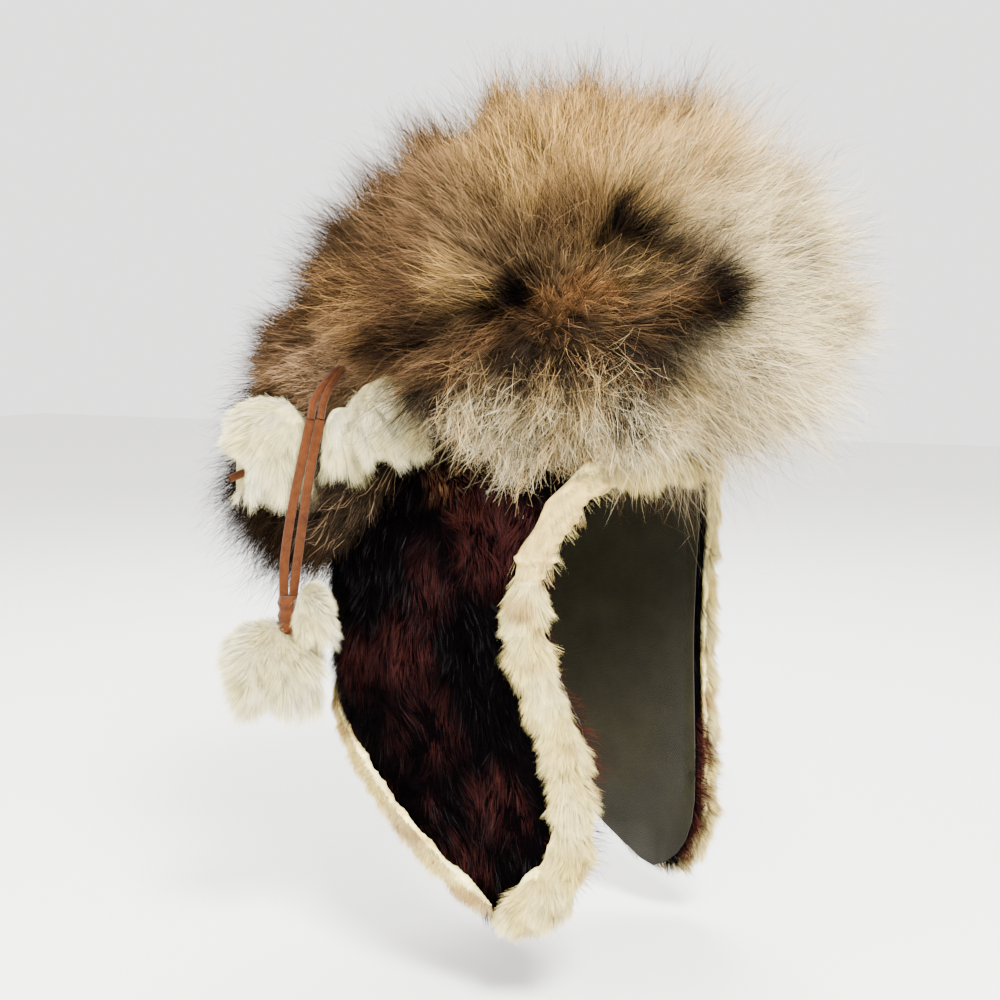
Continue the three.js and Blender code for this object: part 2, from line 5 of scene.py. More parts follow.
import bmesh
import bpy
import numpy as np
from mathutils import Vector, kdtree
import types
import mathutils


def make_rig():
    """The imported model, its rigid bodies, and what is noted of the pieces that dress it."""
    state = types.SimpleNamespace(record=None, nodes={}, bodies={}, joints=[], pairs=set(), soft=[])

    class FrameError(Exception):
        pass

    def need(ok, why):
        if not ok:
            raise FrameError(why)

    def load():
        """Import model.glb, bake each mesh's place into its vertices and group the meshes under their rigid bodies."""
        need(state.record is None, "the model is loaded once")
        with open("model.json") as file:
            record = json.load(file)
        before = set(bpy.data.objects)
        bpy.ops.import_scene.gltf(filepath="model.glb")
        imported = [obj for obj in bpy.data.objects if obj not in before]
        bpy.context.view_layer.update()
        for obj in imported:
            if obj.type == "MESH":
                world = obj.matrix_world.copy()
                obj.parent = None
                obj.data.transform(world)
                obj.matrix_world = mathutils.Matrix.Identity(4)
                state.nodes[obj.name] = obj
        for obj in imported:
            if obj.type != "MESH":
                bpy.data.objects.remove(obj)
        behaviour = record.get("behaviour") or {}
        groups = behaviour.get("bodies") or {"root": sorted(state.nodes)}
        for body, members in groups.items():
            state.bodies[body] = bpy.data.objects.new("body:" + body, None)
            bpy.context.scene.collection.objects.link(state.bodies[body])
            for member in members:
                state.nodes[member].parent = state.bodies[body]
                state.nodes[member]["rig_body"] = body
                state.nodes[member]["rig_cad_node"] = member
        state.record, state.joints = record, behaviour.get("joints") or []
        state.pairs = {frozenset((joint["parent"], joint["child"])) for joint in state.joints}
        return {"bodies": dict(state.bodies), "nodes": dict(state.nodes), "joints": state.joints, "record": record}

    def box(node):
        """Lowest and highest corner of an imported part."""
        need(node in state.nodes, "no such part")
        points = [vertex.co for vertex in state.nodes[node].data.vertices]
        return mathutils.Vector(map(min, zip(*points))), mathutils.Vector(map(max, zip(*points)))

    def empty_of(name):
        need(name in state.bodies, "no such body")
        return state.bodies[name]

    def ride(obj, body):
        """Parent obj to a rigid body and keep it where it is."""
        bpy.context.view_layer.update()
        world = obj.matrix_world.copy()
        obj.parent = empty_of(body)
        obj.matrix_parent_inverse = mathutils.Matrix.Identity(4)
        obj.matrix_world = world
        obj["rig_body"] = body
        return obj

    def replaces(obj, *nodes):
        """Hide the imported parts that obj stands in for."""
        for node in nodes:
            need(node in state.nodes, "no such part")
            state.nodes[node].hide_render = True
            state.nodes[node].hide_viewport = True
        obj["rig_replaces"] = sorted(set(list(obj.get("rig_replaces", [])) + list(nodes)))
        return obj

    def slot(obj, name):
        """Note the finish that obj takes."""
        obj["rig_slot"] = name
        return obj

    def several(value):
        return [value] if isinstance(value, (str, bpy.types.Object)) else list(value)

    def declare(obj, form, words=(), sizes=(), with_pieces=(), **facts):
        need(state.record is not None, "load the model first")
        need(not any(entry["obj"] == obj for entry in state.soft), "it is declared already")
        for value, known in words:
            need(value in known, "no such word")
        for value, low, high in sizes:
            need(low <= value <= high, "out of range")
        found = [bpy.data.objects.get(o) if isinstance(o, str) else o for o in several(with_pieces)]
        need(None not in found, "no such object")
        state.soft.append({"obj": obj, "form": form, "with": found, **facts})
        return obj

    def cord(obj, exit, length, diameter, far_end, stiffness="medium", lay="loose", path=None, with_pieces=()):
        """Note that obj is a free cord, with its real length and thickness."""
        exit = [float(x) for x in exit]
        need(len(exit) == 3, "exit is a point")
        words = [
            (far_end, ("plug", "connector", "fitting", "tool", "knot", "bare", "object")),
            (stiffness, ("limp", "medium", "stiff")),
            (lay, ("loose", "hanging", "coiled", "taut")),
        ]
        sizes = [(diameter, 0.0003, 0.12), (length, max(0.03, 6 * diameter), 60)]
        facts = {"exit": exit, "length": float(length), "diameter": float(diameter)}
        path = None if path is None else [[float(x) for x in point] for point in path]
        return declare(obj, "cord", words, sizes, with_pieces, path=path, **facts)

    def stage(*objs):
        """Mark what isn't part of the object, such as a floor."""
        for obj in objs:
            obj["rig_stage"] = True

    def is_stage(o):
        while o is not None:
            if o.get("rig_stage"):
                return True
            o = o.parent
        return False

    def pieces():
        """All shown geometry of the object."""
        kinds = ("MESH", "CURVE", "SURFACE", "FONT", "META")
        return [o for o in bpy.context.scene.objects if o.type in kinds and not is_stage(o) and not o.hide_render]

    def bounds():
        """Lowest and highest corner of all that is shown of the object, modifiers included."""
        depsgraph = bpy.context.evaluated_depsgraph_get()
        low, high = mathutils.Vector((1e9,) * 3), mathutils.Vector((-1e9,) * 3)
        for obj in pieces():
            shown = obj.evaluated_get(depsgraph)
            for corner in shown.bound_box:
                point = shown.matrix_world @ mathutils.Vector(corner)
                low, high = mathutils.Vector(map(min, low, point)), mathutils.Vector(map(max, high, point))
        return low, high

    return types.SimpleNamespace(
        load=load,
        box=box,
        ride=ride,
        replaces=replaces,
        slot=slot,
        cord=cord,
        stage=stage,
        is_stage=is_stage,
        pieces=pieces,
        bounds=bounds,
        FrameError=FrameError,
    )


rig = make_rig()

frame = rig.load()
CAD_BOX = [list(corner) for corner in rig.bounds()]

MM = 0.001

# Camera, at the photograph's angle to the cap
AZIMUTH = math.radians(-62)
ELEVATION = math.radians(6)
CAMERA_DISTANCE = 1.0
CAMERA_SCALE = 1790
ORIGIN_PIXEL = (524, 396)
IMAGE_SIZE = 1000
SENSOR_WIDTH = 36

# Suede thongs, in millimetres: the solids' laces, a little wider and parting on the way down
THONG_WIDTH = 5.1
THONG_THICKNESS = 2.0
THONG_PITCH = 5.2
THONG_SPREAD = (0.47, -0.88, 0)
THONG_PARTING = (1, 1.05, 1.3, 1.35, 1)
THONG_SIDES = {"front": 1, "back": -1}
THONG_ROUTE = (
    (-101, 72, -10),
    (-105, 76, -36),
    (-104, 82, -60),
    (-99, 90, -86),
    (-96, 94, -106),
)

# Colours of hair, hide and cloth: red, green and blue, linear
PALETTE = {
    "gold": (0.53, 0.31, 0.088),
    "tan": (0.20, 0.125, 0.056),
    "straw": (0.58, 0.44, 0.205),
    "cream": (0.72, 0.62, 0.38),
    "amber": (0.165, 0.085, 0.036),
    "peach": (0.42, 0.26, 0.135),
    "rufous": (0.30, 0.14, 0.046),
    "umber": (0.028, 0.0165, 0.0098),
    "smoke": (0.018, 0.0130, 0.0086),
    "black": (0.0025, 0.0020, 0.0021),
    "mink": (0.0010, 0.0006, 0.0008),
    "oxblood": (0.040, 0.0104, 0.0088),
    "rust": (0.036, 0.0095, 0.0062),
    # A painted highlight, taken by the tips of a few mink strands
    "painted_glint": (0.036, 0.031, 0.033),
    "white": (0.95, 0.88, 0.58),
    "ivory": (0.95, 0.81, 0.36),
    "butter": (0.95, 0.75, 0.22),
    "fawn": (0.36, 0.20, 0.060),
    "rawhide": (0.50, 0.36, 0.12),
    "olive_dark": (0.005, 0.0042, 0.0013),
    "olive": (0.016, 0.0138, 0.0046),
    # Suede: a darker wear colour, and a lighter one that is partly a painted nap highlight
    "suede_worn": (0.009, 0.0025, 0.0005),
    "suede": (0.100, 0.0270, 0.0042),
    "floor": (0.80, 0.79, 0.77),
}

# Lights: name, place, aim, size and power
LIGHTS = (
    ("key_light", (-1.1, -1.0, 1.3), (0, 0, 0), 0.6, 220),
    ("fill_light", (-1.3, 1.1, 0.5), (0, 0, -0.1), 1.2, 30),
    ("rim_light", (1.0, 0.6, 1.2), (0, 0, 0), 0.8, 65),
)
STUDIO_COLOUR = (0.92, 0.91, 0.90)
STUDIO_STRENGTH = 2.6
FLOOR_SIZE = 4
FLOOR_DROP = 0.03

# A patch of colour: place and radius in millimetres, on either side, its colour and strength, and
# a second colour that a share of its strands take. A zone scales the length of the hair in it.
Patch = namedtuple("Patch", "at radius colour strength other share")
Zone = namedtuple("Zone", "at radius scale")

# Patches of the fox pelt, broad ones first. Each runs straight out from the pelt's middle, so that
# a patch is as wide on the tips as on the hide.
FOX_MIDDLE = (0, -30, 40)
FOX_PATCHES = (
    Patch((0, 110, 70), 90, "umber", 0.8, "amber", 0.4),
    Patch((0, -165, 60), 95, "straw", 0.9, "cream", 0.4),
    Patch((60, -110, -40), 48, "straw", 0.95, "smoke", 0.5),
    Patch((25, -140, -30), 48, "straw", 0.9, "cream", 0.5),
    Patch((88, -50, -45), 38, "straw", 0.9, "smoke", 0.8),
    Patch((63, -67, 135), 62, "gold", 0.95, "tan", 0.3),
    Patch((86, -25, 123), 34, "gold", 0.8, "tan", 0.5),
    Patch((53, -125, 109), 42, "straw", 0.8, "gold", 0.45),
    Patch((22, -161, 70), 48, "straw", 0.9, "cream", 0.35),
    Patch((15, -160, 25), 46, "straw", 0.9, "cream", 0.55),
    Patch((21, -138, -3), 36, "straw", 0.85, "cream", 0.5),
    Patch((94, 14, 96), 36, "amber", 0.9, "tan", 0.4),
    Patch((104, 18, 65), 26, "umber", 0.8, "amber", 0.45),
    Patch((104, 17, 40), 24, "amber", 0.8, "umber", 0.5),
    Patch((67, 81, 85), 24, "umber", 0.8, "black", 0.35),
    Patch((64, 103, 45), 24, "umber", 0.8, "amber", 0.35),
    Patch((97, 52, 53), 22, "amber", 0.7, "gold", 0.2),
    Patch((110, -28, 86), 22, "umber", 0.75, "tan", 0.5),
    Patch((109, -61, 81), 24, "umber", 0.8, "tan", 0.35),
    Patch((95, -74, 102), 20, "umber", 0.7, "amber", 0.5),
    Patch((98, -30, 108), 9, "umber", 0.7, "amber", 0.4),
    Patch((79, -106, 102), 17, "umber", 0.65, "gold", 0.4),
    Patch((83, -117, 81), 18, "umber", 0.9, "tan", 0.15),
    Patch((77, -130, 69), 18, "umber", 0.9, "tan", 0.15),
    Patch((96, -107, 58), 13, "black", 1, "umber", 0.1),
    Patch((90, -112, 71), 9, "tan", 0.75, "gold", 0.4),
    Patch((116, -22, 61), 17, "tan", 0.85, "gold", 0.35),
    Patch((104, -91, 56), 14, "rufous", 0.95, "amber", 0.25),
    Patch((110, -77, 51), 15, "rufous", 0.95, "umber", 0.45),
    Patch((114, -62, 45), 11, "umber", 0.9, "rufous", 0.35),
    Patch((107, -83, 64), 9, "umber", 0.7, "rufous", 0.4),
    Patch((85, -123, 45), 14, "rufous", 0.8, "umber", 0.4),
    Patch((114, -45, 31), 14, "rufous", 0.8, "umber", 0.35),
    Patch((111, -21, 22), 13, "umber", 0.9, "amber", 0.5),
    Patch((98, -103, 42), 13, "amber", 0.8, "gold", 0.25),
    Patch((92, -110, 33), 16, "umber", 0.7, "amber", 0.45),
    Patch((108, -75, 34), 15, "umber", 0.85, "amber", 0.3),
    Patch((115, -53, 60), 14, "black", 1, "black", 0),
    Patch((116, -42, 54), 12, "black", 1, "umber", 0),
    Patch((117, -30, 47), 10, "black", 0.95, "umber", 0.1),
    Patch((115, -13, 41), 11, "black", 0.9, "umber", 0.1),
    Patch((108, 6, 33), 11, "black", 1, "umber", 0.4),
    Patch((96, 26, 24), 13, "black", 1, "umber", 0.4),
    Patch((91, -100, 88), 15, "black", 1, "black", 0),
    Patch((85, -102, 97), 8, "umber", 0.85, "black", 0.5),
    Patch((85, -115, 81), 12, "black", 0.95, "umber", 0.2),
    Patch((71, -138, 51), 17, "black", 1, "umber", 0),
    Patch((66, -142, 57), 9, "black", 0.9, "umber", 0.2),
    Patch((74, -134, 40), 11, "black", 0.9, "umber", 0.1),
    Patch((81, -110, 12), 28, "smoke", 1, "umber", 0.3),
    Patch((108, -53, 17), 24, "smoke", 1, "umber", 0.3),
    Patch((97, -90, 18), 25, "smoke", 1, "amber", 0.2),
    Patch((55, -127, 2), 16, "smoke", 0.7, "straw", 0.3),
    Patch((96, -7, 1), 18, "smoke", 1, "umber", 0.4),
    Patch((88, -28, -8), 17, "cream", 0.85, "smoke", 0.7),
    Patch((80, -64, -12), 20, "straw", 0.85, "smoke", 0.65),
    Patch((72, -96, -8), 18, "cream", 0.85, "smoke", 0.7),
    Patch((56, -122, -6), 18, "straw", 0.8, "smoke", 0.4),
    Patch((94, 88, 14), 26, "peach", 0.9, "amber", 0.3),
    Patch((94, 45, -52), 44, "smoke", 0.97, "peach", 0.06),
    Patch((50, 145, -60), 62, "black", 0.95, "umber", 0.4),
)

# Length of the fox's hair from place to place, then that of its guard hair
FOX_LENGTHS = (
    Zone((0, -30, 150), 80, 1.05),
    Zone((0, -165, 60), 80, 1.1),
    Zone((40, 70, 110), 90, 0.6),
    Zone((40, 150, 20), 90, 0.75),
    Zone((108, -79, 52), 30, 0.6),
    Zone((88, -50, -14), 48, 0.68),
    Zone((60, -112, -14), 44, 0.75),
    Zone((96, 76, 0), 44, 0.35),
    Zone((94, 34, 0), 26, 0.3),
    Zone((84, 56, -62), 40, 0.8),
    Zone((62, 148, -55), 42, 1.25),
)
GUARD_LENGTHS = (
    Zone((40, 70, 110), 90, 0.8),
    Zone((40, 150, 20), 90, 0.7),
    Zone((108, -79, 52), 30, 0.5),
    Zone((88, -50, -14), 48, 0.5),
    Zone((60, -112, -14), 44, 0.6),
    Zone((0, -175, 15), 75, 1.2),
    Zone((96, 76, 0), 44, 0.25),
    Zone((94, 34, 0), 26, 0.2),
    Zone((84, 56, -62), 40, 0.4),
)

# Whorl on each side from which the pelt's hair sweeps, the radius of its core, the half width of
# the parting over the top, and where the rear drape begins and how far it takes to do so
FOX_WHORL = (112, -76, 46)
FOX_WHORL_CORE = 45
FOX_PARTING = 35
DRAPE = {"front": 10, "along": 40, "top": 15, "down": 30}

# Patches of the dark cap fur
MINK_PATCHES = (
    Patch((86, -30, -72), 26, "oxblood", 0.9, "mink", 0.3),
    Patch((89, 8, -101), 14, "oxblood", 0.7, "mink", 0.4),
    Patch((89, 26, -134), 20, "oxblood", 0.9, "mink", 0.3),
    Patch((78, 63, -146), 18, "oxblood", 0.7, "mink", 0.4),
    Patch((91, 6, -172), 18, "oxblood", 0.7, "mink", 0.4),
    Patch((65, 74, -199), 20, "oxblood", 0.7, "mink", 0.4),
    Patch((90, -32, -209), 16, "oxblood", 0.85, "mink", 0.3),
    Patch((93, -17, -245), 15, "oxblood", 0.8, "mink", 0.4),
    Patch((92, 18, -213), 14, "oxblood", 0.8, "mink", 0.3),
    Patch((86, -14, -56), 9, "rust", 1.0, "oxblood", 0.2),
    Patch((83, 4, -44), 10, "rust", 1.0, "amber", 0.3),
)

# Steps along a strand, from root to tip
STRAIGHT = (0.0, 1.0)
SHORT = (0.0, 0.55, 1.0)
LONG = (0.0, 0.38, 0.72, 1.0)
CURLED = (0.0, 0.17, 0.33, 0.5, 0.67, 0.84, 1.0)

# A coat of hair: its number of strands, their length and width, the size of its coarse and fine
# locks, all in millimetres, how far the locks pull the tips together, how far the strands stray,
# wave and droop as a share of their length, and their steps
Coat = namedtuple("Coat", "strands length width locks pull stray wave droop steps")
COATS = {
    "fox_under": Coat(140000, 23, 0.25, (16, 4.5), 0.45, 0.18, 0, 0.05, STRAIGHT),
    "fox_long": Coat(62000, 36, 0.26, (16, 4.5), 0.5, 0.24, 0.38, 0.1, SHORT),
    "fox_guard": Coat(20000, 60, 0.26, (16, 4.5), 0.2, 0.25, 0.2, 0.1, LONG),
    "fox_fringe": Coat(20000, 46, 0.27, (16, 4.5), 0.3, 0.3, 0.25, 0.05, SHORT),
    "fox_wisp": Coat(8000, 35, 0.3, (16, 7), 0.6, 0.4, 0.6, 0.25, CURLED),
    "mink": Coat(120000, 11, 0.2, (14, 4), 0.4, 0.2, 0, 0.1, STRAIGHT),
    "rim": Coat(9000, 16, 0.26, (9, 4), 0.5, 0.3, 0.25, 0.15, SHORT),
    "face_trim": Coat(90000, 9.5, 0.2, (11, 4), 0.5, 0.2, 0, 0.15, STRAIGHT),
    "nape_trim": Coat(30000, 6.5, 0.2, (11, 4), 0.5, 0.2, 0, 0.1, STRAIGHT),
    "tuft": Coat(26000, 12, 0.2, (12, 4.5), 0.35, 0.3, 0, 0.1, STRAIGHT),
}

# Drift of directions: how many waves add up and what their sum is divided by, about how long a
# random direction comes out, and how far each wave may be shifted along itself, about a full turn
DRIFT_WAVES = 5
DRIFT_DIVISOR = 3
DRIFT_LENGTH = 1.7
DRIFT_SHIFT = 6.28

# How strands grow: two ruffles as wavelength in millimetres and share, the shortest strand and the
# spread above it, the bow of each strand, its half turns of curl, its turn about its own line, its
# taper, and the share of a lock's strands that take the lock's own colour
RUFFLES = ((48, 0.35), (17, 0.33))
SHORTEST = 0.62
LENGTH_SPREAD = 0.5
BOW = 0.25
CURL_HALF_TURNS = 2.6
ROLL = 0.7
TAPER = 0.8
LOCK_LOYALTY = 0.75

# Step of a strand above which it is no longer shaded by the hair round it
ROOT_SHADE = 0.55

# The hair may pass the solids' box by a share of each side and a fixed reach, in millimetres
BOX_SHARE = 0.03
BOX_REACH = 8

# Middles of the pelt's two masses, and how far its hair follows the lumps of its skin
FOX_CORES = ((0, -32, 30), (0, 62, 5))
FOX_LUMP_SHARE = 0.3

# Where hair grows, in millimetres. Heights count less than widths on the cap's outer side.
OUTER_SIDE = {"weights": (1, 1, 0.4), "reach": 15}
RIM = {"right_top": -88, "left_top": -185, "side": 40, "thin_top": -85, "thin_reach": 50}
FRINGE = {"back": 15, "low": -95, "brow": -115, "brow_top": 50}
WISPS = {"side": 50, "front": -125, "back": -12, "top": 34, "thin_top": 38, "thin_reach": 45}

# Seeds of the random draws
SEEDS = {
    "skin": 7, "cap": 100, "cap_hair": 110, "rim_hair": 120, "fox": 200, "fox_hair": 210,
    "wisp": 230, "wisp_hair": 231, "trim": 300, "trim_hair": 310, "tuft": 400, "tuft_hair": 410,
}

# Tufts, and the place where each is tied, from which its hair spreads
TUFTS = {
    "tuft_upper_front_small": (-98, 70, -2),
    "tuft_upper_front_large": (-94, 54, 8),
    "tuft_upper_back": (-97, 82, -6),
    "tuft_lower_small": (-95, 92, -104),
    "tuft_lower_large": (-95, 97, -122),
}

# Bare stretch of the face trim's hide on the right side, and the fold pinched across it
BARE = {"y": (-108, -34), "z": (-90, -38)}
PINCH = {"z": -79, "width": 1.7, "height": 2.4}

# Dent in the upper back tuft where the thong tip comes out, with short hair round it
TIP_DENT = {
    "depth": 9, "width": 8, "shift": (-2, 2, 1), "bare": 6, "clearing": 11,
    "outward": (-0.878, -0.467, 0.105),
}


def linear(name):
    return np.array(PALETTE[name])


def opaque(name):
    return (*PALETTE[name], 1)


def unit(vectors):
    return vectors / np.maximum(np.linalg.norm(vectors, axis=-1, keepdims=True), 1e-9)


# Camera and light
def make_camera():
    back = Vector((
        math.sin(AZIMUTH) * math.cos(ELEVATION),
        -math.cos(AZIMUTH) * math.cos(ELEVATION),
        math.sin(ELEVATION),
    ))
    right = Vector((math.cos(AZIMUTH), math.sin(AZIMUTH), 0))
    up = back.cross(right)
    metres_a_pixel = CAMERA_DISTANCE / CAMERA_SCALE
    aim = right * (IMAGE_SIZE / 2 - ORIGIN_PIXEL[0]) * metres_a_pixel
    aim += up * (ORIGIN_PIXEL[1] - IMAGE_SIZE / 2) * metres_a_pixel
    data = bpy.data.cameras.new("camera")
    data.sensor_width = SENSOR_WIDTH
    data.lens = SENSOR_WIDTH * CAMERA_SCALE / IMAGE_SIZE
    camera = bpy.data.objects.new("camera", data)
    bpy.context.collection.objects.link(camera)
    camera.location = aim + back * CAMERA_DISTANCE
    camera.rotation_euler = back.to_track_quat("Z", "Y").to_euler()
    bpy.context.scene.camera = camera


def add_light(name, place, aim, size, power):
    data = bpy.data.lights.new(name, "AREA")
    data.size = size
    data.energy = power
    lamp = bpy.data.objects.new(name, data)
    bpy.context.collection.objects.link(lamp)
    lamp.location = place
    lamp.rotation_euler = (Vector(place) - Vector(aim)).to_track_quat("Z", "Y").to_euler()


def make_studio():
    world = bpy.data.worlds.new("studio")
    bpy.context.scene.world = world
    world.use_nodes = True
    background = world.node_tree.nodes["Background"]
    background.inputs["Color"].default_value = (*STUDIO_COLOUR, 1)
    background.inputs["Strength"].default_value = STUDIO_STRENGTH
    for name, place, aim, size, power in LIGHTS:
        add_light(name, place, aim, size, power)


def make_floor():
    shape = bmesh.new()
    bmesh.ops.create_grid(shape, x_segments=1, y_segments=1, size=FLOOR_SIZE)
    bmesh.ops.translate(shape, verts=shape.verts, vec=(0, 0, CAD_BOX[0][2] - FLOOR_DROP))
    floor = finish_mesh("floor", shape)
    floor.data.materials.append(plain_material("pale_floor", "floor", 0.8))
    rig.stage(floor)


# Materials
def new_material(name, roughness):
    material = bpy.data.materials.new(name)
    material.use_nodes = True
    shader = material.node_tree.nodes["Principled BSDF"]
    shader.inputs["Roughness"].default_value = roughness
    return material, material.node_tree, shader


def plain_material(name, colour, roughness):
    material, _, shader = new_material(name, roughness)
    shader.inputs["Base Color"].default_value = opaque(colour)
    return material


def add_node(tree, kind, **values):
    node = tree.nodes.new(kind)
    for key, value in values.items():
        node.inputs[key.replace("_", " ")].default_value = value
    return node


def add_pattern(tree, kind, **values):
    """A pattern that is laid out by the place on the object."""
    node = add_node(tree, kind, **values)
    place = tree.nodes.new("ShaderNodeTexCoord")
    tree.links.new(place.outputs["Object"], node.inputs["Vector"])
    return node


def mix_colour(tree, factor, first, second, blend="MIX"):
    node = tree.nodes.new("ShaderNodeMix")
    node.data_type = "RGBA"
    node.blend_type = blend
    for socket, value in ((node.inputs[0], factor), (node.inputs[6], first), (node.inputs[7], second)):
        if hasattr(value, "links"):
            tree.links.new(value, socket)
        else:
            socket.default_value = value
    return node.outputs[2]


def paint_unevenly(tree, shader, noise, **span):
    """The colour painted on the mesh, lighter and darker with a noise."""
    colour = tree.nodes.new("ShaderNodeAttribute")
    colour.attribute_name = "hair_colour"
    tone = add_node(tree, "ShaderNodeMapRange", **span)
    tree.links.new(noise.outputs["Fac"], tone.inputs["Value"])
    mixed = mix_colour(tree, 1.0, colour.outputs["Color"], tone.outputs["Result"], "MULTIPLY")
    tree.links.new(mixed, shader.inputs["Base Color"])


def hair_material(name, roughness, specular):
    """Hair takes its colour from its strands, with fine uneven tone."""
    material, tree, shader = new_material(name, roughness)
    shader.inputs["Specular IOR Level"].default_value = specular
    noise = add_pattern(tree, "ShaderNodeTexNoise", Scale=140.0, Detail=3.0)
    paint_unevenly(tree, shader, noise, To_Min=0.75, To_Max=1.25)
    return material


def skin_material(name, scale, roughness, bump):
    """Close underfur: its painted colour in uneven streaks, with a soft uneven surface."""
    material, tree, shader = new_material(name, roughness)
    shader.inputs["Specular IOR Level"].default_value = 0.0
    noise = add_pattern(tree, "ShaderNodeTexNoise", Scale=scale, Detail=6.0, Distortion=1.2)
    paint_unevenly(tree, shader, noise, From_Min=0.3, From_Max=0.7, To_Min=0.45, To_Max=1.2)
    relief = add_node(tree, "ShaderNodeBump", Strength=bump, Distance=0.002)
    tree.links.new(noise.outputs["Fac"], relief.inputs["Height"])
    tree.links.new(relief.outputs["Normal"], shader.inputs["Normal"])
    return material


def cloth_material():
    """Olive-brown lining: a slanting weave with slubs and slack folds."""
    material, tree, shader = new_material("lining_weave", 0.82)
    shader.inputs["Sheen Weight"].default_value = 0.05
    shader.inputs["Specular IOR Level"].default_value = 0.1
    weave = tree.nodes.new("ShaderNodeMath")
    weave.operation = "MULTIPLY"
    for number, direction in enumerate(("DIAGONAL", "Z")):
        threads = add_pattern(tree, "ShaderNodeTexWave", Scale=260.0, Distortion=0.8, Detail=2.0)
        threads.bands_direction = direction
        tree.links.new(threads.outputs["Fac"], weave.inputs[number])
    slubs = add_pattern(tree, "ShaderNodeTexNoise", Scale=55.0, Detail=5.0)
    colour = mix_colour(tree, slubs.outputs["Fac"], opaque("olive_dark"), opaque("olive"))
    tree.links.new(colour, shader.inputs["Base Color"])
    folds = add_pattern(tree, "ShaderNodeTexNoise", Scale=14.0, Detail=2.0)
    slack = add_node(tree, "ShaderNodeBump", Strength=0.8, Distance=0.010)
    tree.links.new(folds.outputs["Fac"], slack.inputs["Height"])
    relief = add_node(tree, "ShaderNodeBump", Strength=0.5, Distance=0.0004)
    tree.links.new(slack.outputs["Normal"], relief.inputs["Normal"])
    tree.links.new(weave.outputs[0], relief.inputs["Height"])
    tree.links.new(relief.outputs["Normal"], shader.inputs["Normal"])
    return material


def suede_material():
    """Orange-tan suede: brushed nap with darker stretches of wear and painted nap highlights."""
    material, tree, shader = new_material("suede_nap", 0.9)
    shader.inputs["Sheen Weight"].default_value = 0.08
    shader.inputs["Specular IOR Level"].default_value = 0.1
    # A noise mixes the darker wear colour with the lighter one, which stands partly for painted highlights on the nap.
    wear_and_sheen = add_pattern(tree, "ShaderNodeTexNoise", Scale=240.0, Detail=8.0, Distortion=0.6)
    nap = add_pattern(tree, "ShaderNodeTexNoise", Scale=900.0, Detail=3.0)
    colour = mix_colour(tree, wear_and_sheen.outputs["Fac"], opaque("suede_worn"), opaque("suede"))
    tree.links.new(colour, shader.inputs["Base Color"])
    relief = add_node(tree, "ShaderNodeBump", Strength=0.6, Distance=0.0004)
    tree.links.new(nap.outputs["Fac"], relief.inputs["Height"])
    tree.links.new(relief.outputs["Normal"], shader.inputs["Normal"])
    return material


# Meshes
def finish_mesh(name, shape):
    mesh = bpy.data.meshes.new(name)
    shape.to_mesh(mesh)
    shape.free()
    piece = bpy.data.objects.new(name, mesh)
    bpy.context.collection.objects.link(piece)
    return piece


def dress(piece, material, slot_name, nodes=()):
    piece.data.materials.append(material)
    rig.ride(piece, "root")
    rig.slot(piece, slot_name)
    if nodes:
        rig.replaces(piece, *nodes)


def merged_copy(node, name):
    shape = bmesh.new()
    shape.from_mesh(frame["nodes"][node].data)
    bmesh.ops.remove_doubles(shape, verts=shape.verts, dist=0.00001)
    return finish_mesh(name, shape)


def apply_modifiers(piece):
    graph = bpy.context.evaluated_depsgraph_get()
    mesh = bpy.data.meshes.new_from_object(piece.evaluated_get(graph))
    piece.modifiers.clear()
    piece.data = mesh


def soft_form(node, name, voxel, rounds):
    """A node's form as one even skin, its sharp locks eased into soft lumps."""
    piece = merged_copy(node, name)
    remesh = piece.modifiers.new("even_skin", "REMESH")
    remesh.mode = "VOXEL"
    remesh.voxel_size = voxel * MM
    ease = piece.modifiers.new("ease", "SMOOTH")
    ease.iterations = rounds
    apply_modifiers(piece)
    piece.data.shade_smooth()
    return piece


def skin_arrays(mesh):
    """Places in millimetres and normals of a mesh's points."""
    places, normals = (np.empty(len(mesh.vertices) * 3) for _ in range(2))
    mesh.vertices.foreach_get("co", places)
    mesh.vertices.foreach_get("normal", normals)
    return places.reshape(-1, 3) / MM, normals.reshape(-1, 3)


def skin_points(piece, count, rng, keep):
    """Even random points on a piece's skin, with smooth normals, in millimetres."""
    mesh = piece.data
    mesh.calc_loop_triangles()
    places, normals = skin_arrays(mesh)
    corners = np.empty(len(mesh.loop_triangles) * 3, dtype=np.int64)
    mesh.loop_triangles.foreach_get("vertices", corners)
    corners = corners.reshape(-1, 3)
    middle = places[corners].mean(axis=1)
    facing = unit(normals[corners].mean(axis=1))
    corners = corners[keep(middle, facing)]
    a, b, c = (places[corners[:, k]] for k in range(3))
    area = np.linalg.norm(np.cross(b - a, c - a), axis=1)
    pick = rng.choice(len(corners), size=count, p=area / area.sum())
    s, t = rng.random((2, count))
    over = s + t > 1
    s[over], t[over] = 1 - s[over], 1 - t[over]
    weights = np.stack([1 - s - t, s, t], axis=1)[:, :, None]
    at = (places[corners[pick]] * weights).sum(axis=1)
    normal = unit((normals[corners[pick]] * weights).sum(axis=1))
    return at, normal


def drift(points, wavelength, seed):
    """Slow smooth wandering of direction from place to place."""
    rng = np.random.default_rng(seed)
    total = np.zeros_like(points)
    for _ in range(DRIFT_WAVES):
        wave = rng.normal(size=(3, 3)) / wavelength
        total += np.sin(points @ wave * 2 * math.pi / DRIFT_LENGTH + rng.random(3) * DRIFT_SHIFT)
    return total / DRIFT_DIVISOR


